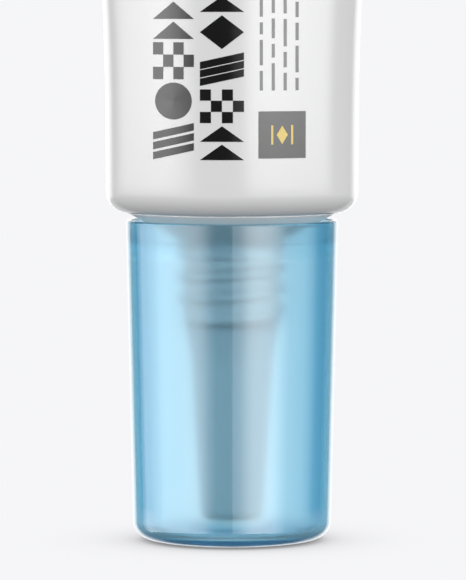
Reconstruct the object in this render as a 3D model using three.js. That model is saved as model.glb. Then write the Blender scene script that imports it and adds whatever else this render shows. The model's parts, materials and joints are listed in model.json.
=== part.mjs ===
// Upright squeeze tube with a long nozzle, standing on its tall screw cap.
// Millimetres, +Z up, origin at the middle of the cap's flat end. The flat seal runs along X.

import * as THREE from 'three';

// ---- Driving dimensions -------------------------------------------------------------------

const GAP = 0.3; // clearance between pieces that touch on the real tube
const AROUND = 40; // facets round every turned piece

// sleeve: a round plastic pipe pinched flat and welded at its far end
const SLEEVE_RADIUS = 17.5;
const SLEEVE_WALL = 0.5;
const SLEEVE_CORNER = 3.2; // outer radius of the rolled-in lower edge
const SLEEVE_LIP = 0.3; // edge of the sleeve's mouth, outwards of the rolled edge's centre
const SLEEVE_LENGTH = 104.8; // lower edge to the end of the weld
const SEAL_HEIGHT = 6; // height of the welded band
const BODY_PINCH_EARLY = 0.1; // share of the depth lost evenly along the body
const BODY_PINCH_POWER = 2.6; // how late the rest of the depth is lost
const SEAL_SQUARENESS = 0.8; // how far the oval section squares up at the weld
const SEAL_SQUARENESS_POWER = 4; // how late it does so
const SECTION_STEPS = 16; // sections along the body

// head: shoulder disc and neck moulded in one
const HEAD_SKIRT_HEIGHT = 4; // straight skirt welded inside the sleeve
const HEAD_WALL = 1.1;
const HEAD_CONE_RISE = 1.43; // wall of the cones, measured upwards
const HEAD_CONE_INSET = 1; // inner cone corners, inwards of the outer ones
const SHOULDER_MOUTH_CLEARANCE = 1.45; // cap's mouth in to where the cone turns steeper
const SHOULDER_BREAK_DROP = 1.05; // drop of the shallow cone
const SHOULDER_FOOT_FLARE = 0.7; // neck's root out to the foot of the steep cone
const SHOULDER_FOOT_DROP = 4.4; // drop of the steep cone
const SHOULDER_FOOT_CHAMFER = 0.5; // height of the chamfer onto the neck
const NECK_RADIUS = 6.7; // root of the neck's screw thread
const NECK_WALL = 1.1;
const NECK_LENGTH = 15.3; // lower edge of the sleeve to the end of the neck

// screw thread between neck and cap insert (its ridges are surface detail)
const THREAD_DEPTH = 0.75;
const THREAD_CLEARANCE = 0.35;

// nozzle: plug, step-down cone and long tapered spout
const NOZZLE_PLUG_LENGTH = 6;
const NOZZLE_CONE_LENGTH = 4.3;
const NOZZLE_SPOUT_ROOT_RADIUS = 5.7;
const NOZZLE_TIP_CLEARANCE = 0.3; // spout's end above the wad
const NOZZLE_TIP_RADIUS = 4.2;
const NOZZLE_TIP_ROUND = 1.0;
const NOZZLE_ORIFICE_RADIUS = 1.1;
const NOZZLE_ORIFICE_LENGTH = 2;
const NOZZLE_WALL = 1.3; // wall of the plug
const NOZZLE_SPOUT_WALL = 1.56;
const NOZZLE_BORE_START = 4; // tip to the foot of the spout's tapered bore
const NOZZLE_RIM_CHAMFER_WIDTH = 0.3;
const NOZZLE_RIM_CHAMFER_HEIGHT = 0.6;

// cap shell: a tall cup with a slight draft
const CAP_HEIGHT = 44.4;
const CAP_RIM_RADIUS = 14.7;
const CAP_BASE_RADIUS = 13.75;
const CAP_BASE_FILLET = 2.5;
const CAP_WALL = 1.05;
const CAP_FLOOR = 1.2;
const CAP_INNER_FILLET = 1.4;
const CAP_MOUTH_GAP = 0.8; // cap rim to the lower edge of the sleeve
const SEAT_BEAD_DEPTH = 0.6; // bead that carries the insert
const SEAT_BEAD_HEIGHT = 1.0;
const SEAT_BEAD_DROP = 3.6; // cap rim down to the bead's middle

// cap insert: threaded collar hung on a cone from the cap's mouth
const INSERT_WALL = 0.9;
const INSERT_CLEARANCE = 0.55; // height between the insert's cone and the shoulder
const INSERT_CONE_REACH = 1.08; // edge of the cone, inwards of the band's outside
const INSERT_CONE_RISE = 1.26; // wall of the cone, measured upwards
const INSERT_BAND_HEIGHT = 1.9; // outer band that stands on the bead
const INSERT_RIM_CHAMFER_WIDTH = 0.4;
const INSERT_RIM_CHAMFER_HEIGHT = 0.25;
const COLLAR_LENGTH = 9.6;

// sealing wad on the cap floor, under the nozzle tip
const WAD_RADIUS = 4.5;
const WAD_THICKNESS = 1.4;
const WAD_EDGE = 0.2; // softened rims of the punched wad
const WAD_RING_WALL = 0.8;
const WAD_RING_HEIGHT = 1.0;

// cream inside the sleeve
const CREAM_CLEARANCE = 0.4;
const CREAM_TOP_SHARE = 0.93; // height of the cream as a share of the body
const CREAM_NECK_CLEARANCE = 0.8;
const CREAM_FUNNEL_RISE = 0.7; // shoulder's foot to the cream's funnel
const CREAM_SKIRT_RISE = 1.4; // rolled edge to the cream's full width in the skirt
const CREAM_EDGE = 0.2; // softened edge where the cream meets the sleeve

// ---- Places worked out from them ----------------------------------------------------------

const sleeveBottom = CAP_HEIGHT + CAP_MOUTH_GAP;
const sleeveTop = sleeveBottom + SLEEVE_LENGTH;
const bodyBottom = sleeveBottom + SLEEVE_CORNER;
const bodyTop = sleeveTop - SEAL_HEIGHT;
const neckEnd = sleeveBottom - NECK_LENGTH;
const neckBoreRadius = NECK_RADIUS - NECK_WALL;
const shoulderFootRadius = NECK_RADIUS + SHOULDER_FOOT_FLARE;
const shoulderBreakRadius = CAP_RIM_RADIUS - CAP_WALL - SHOULDER_MOUTH_CLEARANCE;
const threadCrest = NECK_RADIUS + THREAD_DEPTH;
const collarBore = threadCrest + THREAD_CLEARANCE;
const edgeCentreRadius = SLEEVE_RADIUS - SLEEVE_CORNER;
const sleeveMouthRadius = edgeCentreRadius + SLEEVE_LIP;
const headEdgeRadius = sleeveMouthRadius - GAP;
const wadBottom = CAP_FLOOR + GAP;
const wadTop = wadBottom + WAD_THICKNESS;
const nozzleTop = neckEnd - GAP;

// ---- Shape helpers ------------------------------------------------------------------------

const point = (radius, height) => new THREE.Vector2(radius, height);

/** Points along a circular arc in the profile plane, from one angle to another in degrees. */
function arc(centreRadius, centreHeight, radius, fromDegrees, toDegrees, steps) {
  return Array.from({ length: steps + 1 }, (_, i) => {
    const angle = THREE.MathUtils.degToRad(
      THREE.MathUtils.lerp(fromDegrees, toDegrees, i / steps));
    return point(centreRadius + radius * Math.cos(angle), centreHeight + radius * Math.sin(angle));
  });
}

/** A solid turned about Z from a profile that starts and ends on the axis or closes on itself. */
function turned(profile) {
  return new THREE.LatheGeometry(profile, AROUND).rotateX(Math.PI / 2);
}

/** The same, for a ring profile given without its closing point. */
function turnedRing(profile) {
  return turned([...profile, profile[0].clone()]);
}

/** Half the width of an ellipse of known half depth whose girth is that of the round sleeve. */
function halfWidthForGirth(halfDepth, girth) {
  let low = girth / (2 * Math.PI);
  let high = girth / 4;
  for (let i = 0; i < 40; i += 1) {
    const width = (low + high) / 2;
    const h = ((width - halfDepth) / (width + halfDepth)) ** 2;
    const ellipse = Math.PI * (width + halfDepth) * (1 + (3 * h) / (10 + Math.sqrt(4 - 3 * h)));
    if (ellipse > girth) high = width;
    else low = width;
  }
  return (low + high) / 2;
}

/** The sleeve's outer section at a height: half width, half depth and how square it is. */
function bodySection(height) {
  const share = THREE.MathUtils.clamp((height - bodyBottom) / (bodyTop - bodyBottom), 0, 1);
  const late = share ** BODY_PINCH_POWER;
  const depthLeft = 1 - BODY_PINCH_EARLY * share - (1 - BODY_PINCH_EARLY) * late;
  const halfDepth = SLEEVE_WALL + (SLEEVE_RADIUS - SLEEVE_WALL) * depthLeft;
  return {
    height,
    halfWidth: halfWidthForGirth(halfDepth, 2 * Math.PI * SLEEVE_RADIUS),
    halfDepth,
    fullness: 1 - SEAL_SQUARENESS * late ** SEAL_SQUARENESS_POWER,
  };
}

/** A section drawn in on all sides, for the inside of the wall or for the cream. */
function drawnIn(section, distance) {
  return {
    ...section,
    halfWidth: section.halfWidth - distance,
    halfDepth: section.halfDepth - distance,
  };
}

/** A round section, for the rolled-in edge. */
const roundSection = ({ x, y }) => ({ height: y, halfWidth: x, halfDepth: x, fullness: 1 });

/** Skin over a stack of closed sections, with a point on the axis closing each end. */
function lofted(sections) {
  const positions = [];
  const faces = [];
  const last = sections.length - 1;
  positions.push(0, 0, sections[0].height);
  for (const { height, halfWidth, halfDepth, fullness } of sections) {
    for (let i = 0; i < AROUND; i += 1) {
      const angle = (2 * Math.PI * i) / AROUND;
      const sine = Math.sin(angle);
      const depth = Math.sign(sine) * Math.abs(sine) ** fullness;
      positions.push(halfWidth * Math.cos(angle), halfDepth * depth, height);
    }
  }
  positions.push(0, 0, sections[last].height);
  const at = (ring, i) => 1 + ring * AROUND + (i % AROUND);
  const end = 1 + sections.length * AROUND;
  for (let i = 0; i < AROUND; i += 1) {
    faces.push(0, at(0, i + 1), at(0, i));
    for (let ring = 0; ring < last; ring += 1) {
      faces.push(at(ring, i), at(ring, i + 1), at(ring + 1, i + 1));
      faces.push(at(ring, i), at(ring + 1, i + 1), at(ring + 1, i));
    }
    faces.push(end, at(last, i), at(last, i + 1));
  }
  const geometry = new THREE.BufferGeometry();
  geometry.setAttribute('position', new THREE.Float32BufferAttribute(positions, 3));
  geometry.setIndex(faces);
  geometry.computeVertexNormals();
  return geometry;
}

/** Heights from one value to another in equal steps, both included. */
const heights = (from, to, steps) =>
  Array.from({ length: steps + 1 }, (_, i) => THREE.MathUtils.lerp(from, to, i / steps));

// ---- Pieces -------------------------------------------------------------------------------

/** Height of the shoulder's outer cone at a radius. */
function shoulderHeight(radius) {
  const breakHeight = sleeveBottom - SHOULDER_BREAK_DROP;
  const footHeight = sleeveBottom - SHOULDER_BREAK_DROP - SHOULDER_FOOT_DROP;
  return radius > shoulderBreakRadius
    ? THREE.MathUtils.mapLinear(
      radius, shoulderBreakRadius, headEdgeRadius, breakHeight, sleeveBottom)
    : THREE.MathUtils.mapLinear(
      radius, shoulderFootRadius, shoulderBreakRadius, footHeight, breakHeight);
}

/** Corners of the head's inner cones, from the neck outwards. */
function innerConeCorners() {
  return [shoulderBreakRadius, headEdgeRadius].map((radius) =>
    point(radius - HEAD_CONE_INSET, shoulderHeight(radius) + HEAD_CONE_RISE));
}

function sleeveGeometry() {
  const innerCorner = SLEEVE_CORNER - SLEEVE_WALL;
  const mouthAngle = (radius) =>
    -THREE.MathUtils.radToDeg(Math.acos(SLEEVE_LIP / radius));
  const outerEdge = arc(
    edgeCentreRadius, bodyBottom, SLEEVE_CORNER, mouthAngle(SLEEVE_CORNER), 0, 6).map(roundSection);
  const innerEdge = arc(
    edgeCentreRadius, bodyBottom, innerCorner, 0, mouthAngle(innerCorner), 6).map(roundSection);
  const outerBody = heights(bodyBottom, bodyTop, SECTION_STEPS).slice(1).map(bodySection);
  const insideTop = THREE.MathUtils.lerp(bodyTop, bodyBottom, 0.5 / SECTION_STEPS);
  const innerBody = heights(insideTop, bodyBottom, SECTION_STEPS)
    .slice(0, -1)
    .map((height) => drawnIn(bodySection(height), SLEEVE_WALL));
  const weld = { ...bodySection(bodyTop), height: sleeveTop };
  return lofted([...innerBody, ...innerEdge, ...outerEdge, ...outerBody, weld]);
}

function headGeometry() {
  const corner = SLEEVE_CORNER - SLEEVE_WALL - GAP;
  const skirtRadius = edgeCentreRadius + corner;
  const skirtTop = bodyBottom + HEAD_SKIRT_HEIGHT;
  return turnedRing([
    point(neckBoreRadius, neckEnd),
    point(NECK_RADIUS, neckEnd),
    point(NECK_RADIUS, shoulderHeight(shoulderFootRadius) - SHOULDER_FOOT_CHAMFER),
    point(shoulderFootRadius, shoulderHeight(shoulderFootRadius)),
    point(shoulderBreakRadius, shoulderHeight(shoulderBreakRadius)),
    point(headEdgeRadius, sleeveBottom),
    ...arc(edgeCentreRadius, bodyBottom, corner, -90, 0, 6),
    point(skirtRadius, skirtTop),
    point(skirtRadius - HEAD_WALL, skirtTop),
    point(skirtRadius - HEAD_WALL, bodyBottom),
    ...innerConeCorners().reverse(),
    point(neckBoreRadius, shoulderHeight(shoulderFootRadius)),
  ]);
}

function nozzleGeometry() {
  const coneEnd = nozzleTop - NOZZLE_CONE_LENGTH;
  const tip = wadTop + NOZZLE_TIP_CLEARANCE;
  const plugRadius = neckBoreRadius - GAP;
  const plugEnd = nozzleTop + NOZZLE_PLUG_LENGTH;
  return turnedRing([
    point(NOZZLE_ORIFICE_RADIUS, tip + NOZZLE_ORIFICE_LENGTH),
    point(NOZZLE_ORIFICE_RADIUS, tip),
    ...arc(NOZZLE_TIP_RADIUS - NOZZLE_TIP_ROUND, tip + NOZZLE_TIP_ROUND,
      NOZZLE_TIP_ROUND, -90, 0, 4),
    point(NOZZLE_SPOUT_ROOT_RADIUS, coneEnd),
    point(NECK_RADIUS - NOZZLE_RIM_CHAMFER_WIDTH, nozzleTop - NOZZLE_RIM_CHAMFER_HEIGHT),
    point(NECK_RADIUS, nozzleTop),
    point(plugRadius, nozzleTop),
    point(plugRadius, plugEnd),
    point(plugRadius - NOZZLE_WALL, plugEnd),
    point(plugRadius - NOZZLE_WALL, nozzleTop),
    point(NOZZLE_SPOUT_ROOT_RADIUS - NOZZLE_SPOUT_WALL, coneEnd),
    point(NOZZLE_TIP_RADIUS - NOZZLE_SPOUT_WALL, tip + NOZZLE_BORE_START),
  ]);
}

function creamGeometry() {
  const top = THREE.MathUtils.lerp(bodyBottom, bodyTop, CREAM_TOP_SHARE);
  const skirtTop = bodyBottom + HEAD_SKIRT_HEIGHT;
  const wide = SLEEVE_RADIUS - SLEEVE_WALL - CREAM_CLEARANCE;
  const insideSkirt = SLEEVE_RADIUS - SLEEVE_WALL - GAP - HEAD_WALL - CREAM_CLEARANCE;
  const insideNeck = neckBoreRadius - CREAM_NECK_CLEARANCE;
  const funnelFoot = shoulderHeight(shoulderFootRadius) + CREAM_FUNNEL_RISE;
  const body = heights(skirtTop + CREAM_CLEARANCE, top, SECTION_STEPS)
    .slice(1)
    .map((height) => drawnIn(bodySection(height), SLEEVE_WALL + CREAM_CLEARANCE));
  return lofted([
    roundSection(point(insideNeck, nozzleTop + NOZZLE_PLUG_LENGTH + CREAM_CLEARANCE)),
    roundSection(point(insideNeck, funnelFoot)),
    ...innerConeCorners().map(({ x, y }) => roundSection(point(x, y + CREAM_FUNNEL_RISE))),
    roundSection(point(insideSkirt, bodyBottom + CREAM_SKIRT_RISE)),
    roundSection(point(insideSkirt, skirtTop + CREAM_CLEARANCE)),
    roundSection(point(wide - CREAM_EDGE, skirtTop + CREAM_CLEARANCE)),
    ...body,
  ]);
}

/** Outer radius of the drafted cap wall at a height. */
const capRadius = (height) =>
  THREE.MathUtils.mapLinear(
    height, CAP_BASE_FILLET, CAP_HEIGHT, CAP_BASE_RADIUS, CAP_RIM_RADIUS);

function capShellGeometry() {
  const rimRound = CAP_WALL / 2;
  const rimCentre = CAP_HEIGHT - rimRound;
  const inside = (height) => capRadius(height) - CAP_WALL;
  const beadMiddle = CAP_HEIGHT - SEAT_BEAD_DROP;
  const ringInner = WAD_RADIUS + GAP;
  const ringTop = CAP_FLOOR + WAD_RING_HEIGHT;
  const filletTop = CAP_FLOOR + CAP_INNER_FILLET;
  return turned([
    point(0, 0),
    ...arc(CAP_BASE_RADIUS - CAP_BASE_FILLET, CAP_BASE_FILLET, CAP_BASE_FILLET, -90, 0, 6),
    ...arc(inside(rimCentre) + rimRound, rimCentre, rimRound, 0, 180, 6),
    point(inside(beadMiddle), beadMiddle + SEAT_BEAD_HEIGHT / 2),
    point(inside(beadMiddle) - SEAT_BEAD_DEPTH, beadMiddle + SEAT_BEAD_HEIGHT / 4),
    point(inside(beadMiddle) - SEAT_BEAD_DEPTH, beadMiddle - SEAT_BEAD_HEIGHT / 4),
    point(inside(beadMiddle), beadMiddle - SEAT_BEAD_HEIGHT / 2),
    ...arc(inside(filletTop) - CAP_INNER_FILLET, filletTop, CAP_INNER_FILLET, 0, -90, 4),
    point(ringInner + WAD_RING_WALL, CAP_FLOOR),
    point(ringInner + WAD_RING_WALL, ringTop),
    point(ringInner, ringTop),
    point(ringInner, CAP_FLOOR),
    point(0, CAP_FLOOR),
  ]);
}

function capInsertGeometry() {
  const beadTop = CAP_HEIGHT - SEAT_BEAD_DROP + SEAT_BEAD_HEIGHT / 2;
  const bandRadius = capRadius(beadTop) - CAP_WALL - GAP;
  const bandBottom = beadTop + GAP - SEAT_BEAD_HEIGHT / 4;
  const collarRadius = collarBore + INSERT_WALL;
  const coneRadius = bandRadius - INSERT_CONE_REACH;
  const coneTop = (radius) => shoulderHeight(radius) - INSERT_CLEARANCE;
  const coneUnder = (radius) => coneTop(radius) - INSERT_CONE_RISE;
  const collarTop = coneTop(collarBore);
  return turnedRing([
    point(collarBore, collarTop - COLLAR_LENGTH),
    point(collarRadius, collarTop - COLLAR_LENGTH),
    point(collarRadius, coneUnder(collarRadius)),
    point(coneRadius, coneUnder(coneRadius)),
    point(bandRadius - INSERT_WALL, bandBottom),
    point(bandRadius, bandBottom),
    point(bandRadius, bandBottom + INSERT_BAND_HEIGHT),
    point(bandRadius - INSERT_RIM_CHAMFER_WIDTH,
      bandBottom + INSERT_BAND_HEIGHT + INSERT_RIM_CHAMFER_HEIGHT),
    point(coneRadius, coneTop(coneRadius)),
    point(collarBore, collarTop),
  ]);
}

function capSealGeometry() {
  return turned([
    point(0, wadBottom),
    point(WAD_RADIUS - WAD_EDGE, wadBottom),
    point(WAD_RADIUS, wadBottom + WAD_EDGE),
    point(WAD_RADIUS, wadTop - WAD_EDGE),
    point(WAD_RADIUS - WAD_EDGE, wadTop),
    point(0, wadTop),
  ]);
}

// ---- Assembly -----------------------------------------------------------------------------

/** A named piece with its own finish. */
function piece(name, geometry, color, roughness) {
  const material = new THREE.MeshStandardMaterial({ color, roughness, metalness: 0 });
  const mesh = new THREE.Mesh(geometry, material);
  mesh.name = name;
  return mesh;
}

const cap = new THREE.Group();
cap.add(
  piece('cap_shell', capShellGeometry(), 0x9ad2ee, 0.35),
  piece('cap_insert', capInsertGeometry(), 0xa8d8f0, 0.3),
  piece('cap_seal', capSealGeometry(), 0xf2f2ee, 0.7),
);

const tube = new THREE.Group();
tube.add(
  piece('tube_sleeve', sleeveGeometry(), 0xf3f3f4, 0.15),
  piece('tube_head', headGeometry(), 0xe6e7e8, 0.3),
  piece('nozzle', nozzleGeometry(), 0xdfe2e4, 0.3),
  piece('cream_fill', creamGeometry(), 0xfbf7ef, 0.5),
);

const model = new THREE.Group();
model.add(cap, tube);

export default model;
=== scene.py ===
"""Finished surfaces of a squeeze tube that stands on its tall screw cap.

Each operator makes one piece, or one group of like pieces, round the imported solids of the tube.
Sizes are in metres, +Z up, with the flat seal along X and the printed front towards -Y.
"""

import json
import math

import bpy
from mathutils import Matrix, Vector

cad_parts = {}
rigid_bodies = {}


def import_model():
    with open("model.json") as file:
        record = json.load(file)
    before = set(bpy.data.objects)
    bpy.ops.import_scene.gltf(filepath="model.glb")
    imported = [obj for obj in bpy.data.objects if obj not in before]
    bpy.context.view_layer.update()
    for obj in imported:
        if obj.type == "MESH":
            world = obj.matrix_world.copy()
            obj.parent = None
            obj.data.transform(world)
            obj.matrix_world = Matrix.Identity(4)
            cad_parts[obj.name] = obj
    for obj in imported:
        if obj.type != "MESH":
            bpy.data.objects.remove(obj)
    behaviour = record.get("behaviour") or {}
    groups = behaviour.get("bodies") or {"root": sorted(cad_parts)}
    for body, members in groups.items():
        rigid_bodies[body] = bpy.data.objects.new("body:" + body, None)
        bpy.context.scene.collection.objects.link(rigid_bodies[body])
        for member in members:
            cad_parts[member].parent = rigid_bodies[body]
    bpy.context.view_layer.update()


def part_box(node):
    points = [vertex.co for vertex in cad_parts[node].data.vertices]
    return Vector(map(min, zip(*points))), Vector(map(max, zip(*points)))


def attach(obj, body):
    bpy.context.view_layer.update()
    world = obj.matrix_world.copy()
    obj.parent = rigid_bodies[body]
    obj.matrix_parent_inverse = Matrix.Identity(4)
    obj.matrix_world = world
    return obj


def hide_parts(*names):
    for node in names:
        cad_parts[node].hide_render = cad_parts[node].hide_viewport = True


bl_info = {
    "name": "Squeeze Tube on a Screw Cap",
    "version": (1, 0, 0),
    "blender": (4, 5, 0),
    "location": "View3D > Sidebar > Tube",
    "description": "Builds a glossy squeeze tube with a threaded neck, nozzle and translucent cap",
    "category": "Add Mesh",
}

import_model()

MM = 0.001
FROST = "frost"
SHADOW_REACH = 40 * MM
SHADOW_AHEAD = 2.0 * MM  # middle of the painted contact shadow, in front of the axis
PAINTED_SHADOW_AND_GLOW = (  # painted contact shadow and a painted brighter pool of light under the cap: radius in millimetres, share of light
    (0.5, 1.4), (7.6, 1.35), (9.7, 0.3), (10.7, 0.24), (11.4, 0.33), (12.2, 0.48),
    (12.9, 0.66), (13.6, 0.77), (14.5, 0.83), (15.5, 0.88), (17.8, 0.94), (22.0, 0.985),
    (29.0, 1.0), (39.0, 1.0),
)
FROST_ROUGHNESS = 0.29
FROST_GRAIN = 0.3
EDGE_PAINT_START = 1.0 * MM  # heights between which the painted edge shade and highlight set in
EDGE_PAINT_FULL = 5.0 * MM
GRAZING_SHADE_AND_HIGHLIGHT = (  # how far the face turns away, colour of the clear outer face; towards the outline it turns darker and deeper blue, partly the dye's colour and partly painted shade, then to a painted bright band at the very edge
    (0.0, (0.97, 0.99, 1.0)), (0.28, (0.81, 0.95, 1.0)), (0.43, (0.2, 0.53, 0.7)),
    (0.53, (0.13, 0.49, 0.69)), (0.6, (0.25, 0.74, 0.95)), (0.66, (0.55, 1.0, 1.0)),
    (0.78, (1.0, 1.0, 1.0)),
)


def span(node):
    """Lowest height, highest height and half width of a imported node."""
    low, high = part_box(node)
    return low.z, high.z, (high.x - low.x) / 2


SLEEVE_LOW, SLEEVE_HIGH, _ = span("tube_sleeve")
SLEEVE_RADIUS = (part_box("tube_sleeve")[1].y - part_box("tube_sleeve")[0].y) / 2
HEAD_LOW, HEAD_HIGH, HEAD_RADIUS = span("tube_head")
NOZZLE_LOW, NOZZLE_HIGH, _ = span("nozzle")
CAP_LOW, CAP_HIGH, CAP_RIM_RADIUS = span("cap_shell")
COLLAR_LOW, COLLAR_HIGH, BAND_RADIUS = span("cap_insert")
WAD_LOW, WAD_HIGH, WAD_RADIUS = span("cap_seal")
CREAM_LOW, CREAM_HIGH, _ = span("cream_fill")

RELIEF_DEPTH = 0.02 * MM  # depth of a plastic's grain
LIT_BAND_DROP = 1.0 * MM  # painted light: the head is painted as white as the film from this far under the sleeve
LIT_BAND_BLEND = 0.3 * MM
GAP = 0.3 * MM  # clearance between pieces that touch on the real tube
ON_AXIS = 0.01 * MM  # radius of the first ring of a closed disc
FINEST_STEP = 0.16 * MM  # longest step of a profile that carries a thread
AROUND_WIDE = 192  # points round the sleeve and the cap
AROUND_THREAD = 144
AROUND_SMALL = 96

PINCH_EARLY = 0.1  # share of the sleeve's depth that is lost early
PINCH_EARLY_POWER = 2.2
PINCH_LATE_POWER = 3.0
SQUARENESS = 0.8  # how far the oval section squares up at the weld
SQUARENESS_POWER = 4
BODY_STEPS = 70
SEAL_OVERLAP = 0.3 * MM  # sleeve's film inside the welded band
SEAL_COLUMNS = 400
SEAL_SIDE_POWER = 40  # how sharply the band's two ends are rounded
SEAL_SIDE_LEAST = 0.3
RIB_MARGIN = 1.2 * MM  # plain strip at both ends of the ribs
RIB_EDGE = (0.5 * MM, 0.9 * MM)  # foot and full depth of the ribs, in from the band's edge

HEAD_WALL = 1.1 * MM
BREAK_RADIUS = 12.2 * MM  # where the shoulder turns steeper
BREAK_DROP = 1.05 * MM  # shoulder's edge down to there
FOOT_RADIUS = 7.4 * MM  # foot of the shoulder, above the neck
FOOT_DROP = 4.4 * MM
FOOT_STRAIGHT = 1.1 * MM  # upright part above the foot
CONE_RISE = 1.43 * MM  # wall of the shoulder, measured upwards
CONE_INSET = 1.0 * MM
FUNNEL_RISE = 1.7 * MM  # foot up to the inner cone's end
THREAD_START = 0.4 * MM
THREAD_END = 0.9 * MM
RIDGE_REACH = 0.31  # the ridge's half width and flank, in turns
RIDGE_FLANK = 0.19
RIDGE_RUN_OUT = 0.3
ON_WALL = 0.01 * MM  # points this close to a threaded wall belong to it
NOZZLE_WALL = 1.3 * MM
NOZZLE_CONE = 4.3 * MM  # height of the step-down cone
NOZZLE_FLANGE = 0.6 * MM
SPOUT_WALL = 1.2 * NOZZLE_WALL
ORIFICE_LENGTH = 2.0 * MM
BORE_START = 4.0 * MM
CREAM_GAP = 0.4 * MM
CREAM_NECK_GAP = 0.8 * MM
CREAM_SKIRT_INSET = 1.4 * MM
CREAM_FOOT_DROP = 3.45 * MM  # sleeve's edge down to the cream's funnel
CREAM_STEPS = 50

THREAD_CLEARANCE = 0.35 * MM
GROOVE_START = 0.5 * MM
GROOVE_END = 1.0 * MM
COLLAR_LENGTH = 9.6 * MM
COLLAR_DROP = 1.6 * MM  # sleeve's edge down to the collar's cone
BAND_HEIGHT = 1.9 * MM
BAND_CHAMFER = (0.4 * MM, 0.25 * MM)
BEAD_REACH = 1.6 * MM  # half the height of the seat bead
BEAD_FOOT = 2.6 * MM
RING_MARGIN = 0.6 * MM  # plain floor on both sides of the wad's ring
WAD_DISH = 0.12 * MM

PRINT_LOW = 53.3 * MM
PRINT_STROKE = 1.0 * MM
PRINT_GAP = 0.45 * MM
MOTIF_COLUMNS = (  # name, left and right edge, height of a motif, motifs from below
    ("print_motifs_left", -10.7 * MM, -5.15 * MM, 5.45 * MM,
     ("slashes", "disc", "checks", "wedges", "slashes", "diamond", "checks", "disc")),
    ("print_motifs_middle", -4.33 * MM, 1.62 * MM, 5.0 * MM,
     ("wedges", "checks", "slashes", "diamond", "wedges", "slashes", "disc", "checks",
      "wedges", "slashes")),
)
LINES = 4
LINES_LEFT = 3.75 * MM
LINES_PITCH = 1.62 * MM
LINES_LOW = 62.7 * MM
LINES_HIGH = 101.0 * MM
LINES_STEP_DOWN = 3.0 * MM  # how much shorter each line is than the one before
DASH_WIDTH = 0.42 * MM
DASH_GAP = 0.75 * MM
DASH_SHORTEST = 1.6 * MM
DASH_SPREAD = 2.1 * MM
BADGE = (3.58 * MM, 9.99 * MM, 53.5 * MM, 59.88 * MM)  # left, right, low, high
BADGE_FINEST = 0.4 * MM
BADGE_REACH = 1.25 * MM  # half the height of the diamond
BADGE_BAR = (1.35 * MM, 0.14 * MM, 1.3 * MM)  # offset, half width, half height

SKY_STOPS = ((0.0, 0.3), (0.42, 0.34), (0.5, 1.05), (1.0, 1.45))  # place upwards, grey level
ROOM_STOPS = (  # place backwards, grey level
    (0.0, 0.12), (0.55, 0.16), (0.9, 0.3), (0.94, 0.9), (1.0, 0.95),
)
FLOOR_HALF = 4.0
FLOOR_DROP = 0.02 * MM
CAP_SHADE = (0.9, 0.96, 0.99)  # soft light that the cap lets straight through
FILM_BOXES = {  # stops of azimuth in degrees and radiance
    "left_box": ((-129, 0.0), (-120, 1.4), (-111, 2.5), (-100, 3.3), (-86, 4.2), (-72, 5.2),
                 (-60, 5.4), (-45, 3.6), (-39, 2.2), (-30, 0.0)),
    "right_box": ((0.5, 0.4), (9, 0.7), (14, 3.4), (20, 5.2), (35, 5.7), (55, 5.2), (68, 4.7),
                  (89, 3.9), (97, 2.2), (105, 0.0)),
}
PLASTIC_BOXES = {
    "left_low_box": ((-126, 0.0), (-120, 2.4), (-112, 3.2), (-103, 3.4), (-92, 3.9), (-79, 5.2),
                     (-62, 5.0), (-48, 5.4), (-40, 5.2), (-33, 4.0), (-26, 1.8), (-19, 0.2)),
    "right_low_box": ((0.5, 2.0), (6, 2.4), (10, 3.4), (17, 6.0), (24, 8.0), (38, 8.0),
                      (50, 5.0), (58, 2.6), (66, 0.9), (85, 0.5), (98, 0.4), (105, 0.0)),
}
LIP_BOXES = (((-80, 4.0), (-30, 1.8)), ((12, 1.8), (80, 4.0)))
EDGE_BOXES = (("film_edge_box", 141, 0.85, -0.12), ("cap_edge_box", 150, 0.65, -0.85))
EDGE_END = 179  # azimuth where both sides' edge boxes stop
FILM_LOW, PLASTIC_LOW, BOX_HIGH = 0.0, -0.5, 1.1  # heights of the boxes' ends, in metres
EDGE_HIGH = 1.0
LIP_LOW, LIP_HIGH = -0.3, 0.15


# ---- Sizes and colours that a user would change


def length(name, description, default):
    """A length property, whose default is given in millimetres."""
    return bpy.props.FloatProperty(name=name, description=description, default=default * MM,
                                   min=0.0, precision=5, unit="LENGTH")


def colour(name, description, default):
    """A colour property."""
    return bpy.props.FloatVectorProperty(
        name=name, description=description, default=default, size=3, min=0.0, max=1.0,
        subtype="COLOR",
    )


class TubeSizes(bpy.types.PropertyGroup):
    """Sizes of the sleeve, its print, the head and the nozzle."""

    wall: length("Sleeve wall", "Thickness of the sleeve's film", 0.5)
    foot: length("Sleeve foot", "Height of the sleeve's lower edge", 45.5)
    shoulder: length("Shoulder", "Height where the rolled-in edge starts", 48.4)
    mouth: length("Sleeve mouth", "Radius of the hole in the rolled-in edge", 14.9)
    seal_height: length("Seal height", "Height of the welded flat band", 6.0)
    rib_pitch: length("Seal rib pitch", "Distance between the ribs of the weld", 1.1)
    rib_depth: length("Seal rib depth", "Depth of the ribs of the weld", 0.16)
    ink: length("Ink thickness", "Height of the print above the film", 0.03)
    neck: length("Neck root radius", "Radius at the root of the neck's thread", 6.7)
    neck_bore: length("Neck bore radius", "Radius of the hole through the neck", 5.6)
    thread_pitch: length("Thread pitch", "Rise of the thread in one turn", 3.0)
    thread_depth: length("Thread depth", "Height of the thread's ridge", 0.75)
    thread_mark: length("Thread mark", "Height of a ridge at the front of the neck", 33.9)
    spout_root: length("Spout root radius", "Widest radius of the tapered spout", 5.7)
    spout_tip: length("Spout tip radius", "Radius of the blunt end of the spout", 4.35)
    tip_round: length("Tip rounding", "Radius of the rounding at the spout's end", 0.8)
    orifice: length("Orifice radius", "Radius of the hole in the spout's end", 1.1)


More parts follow.
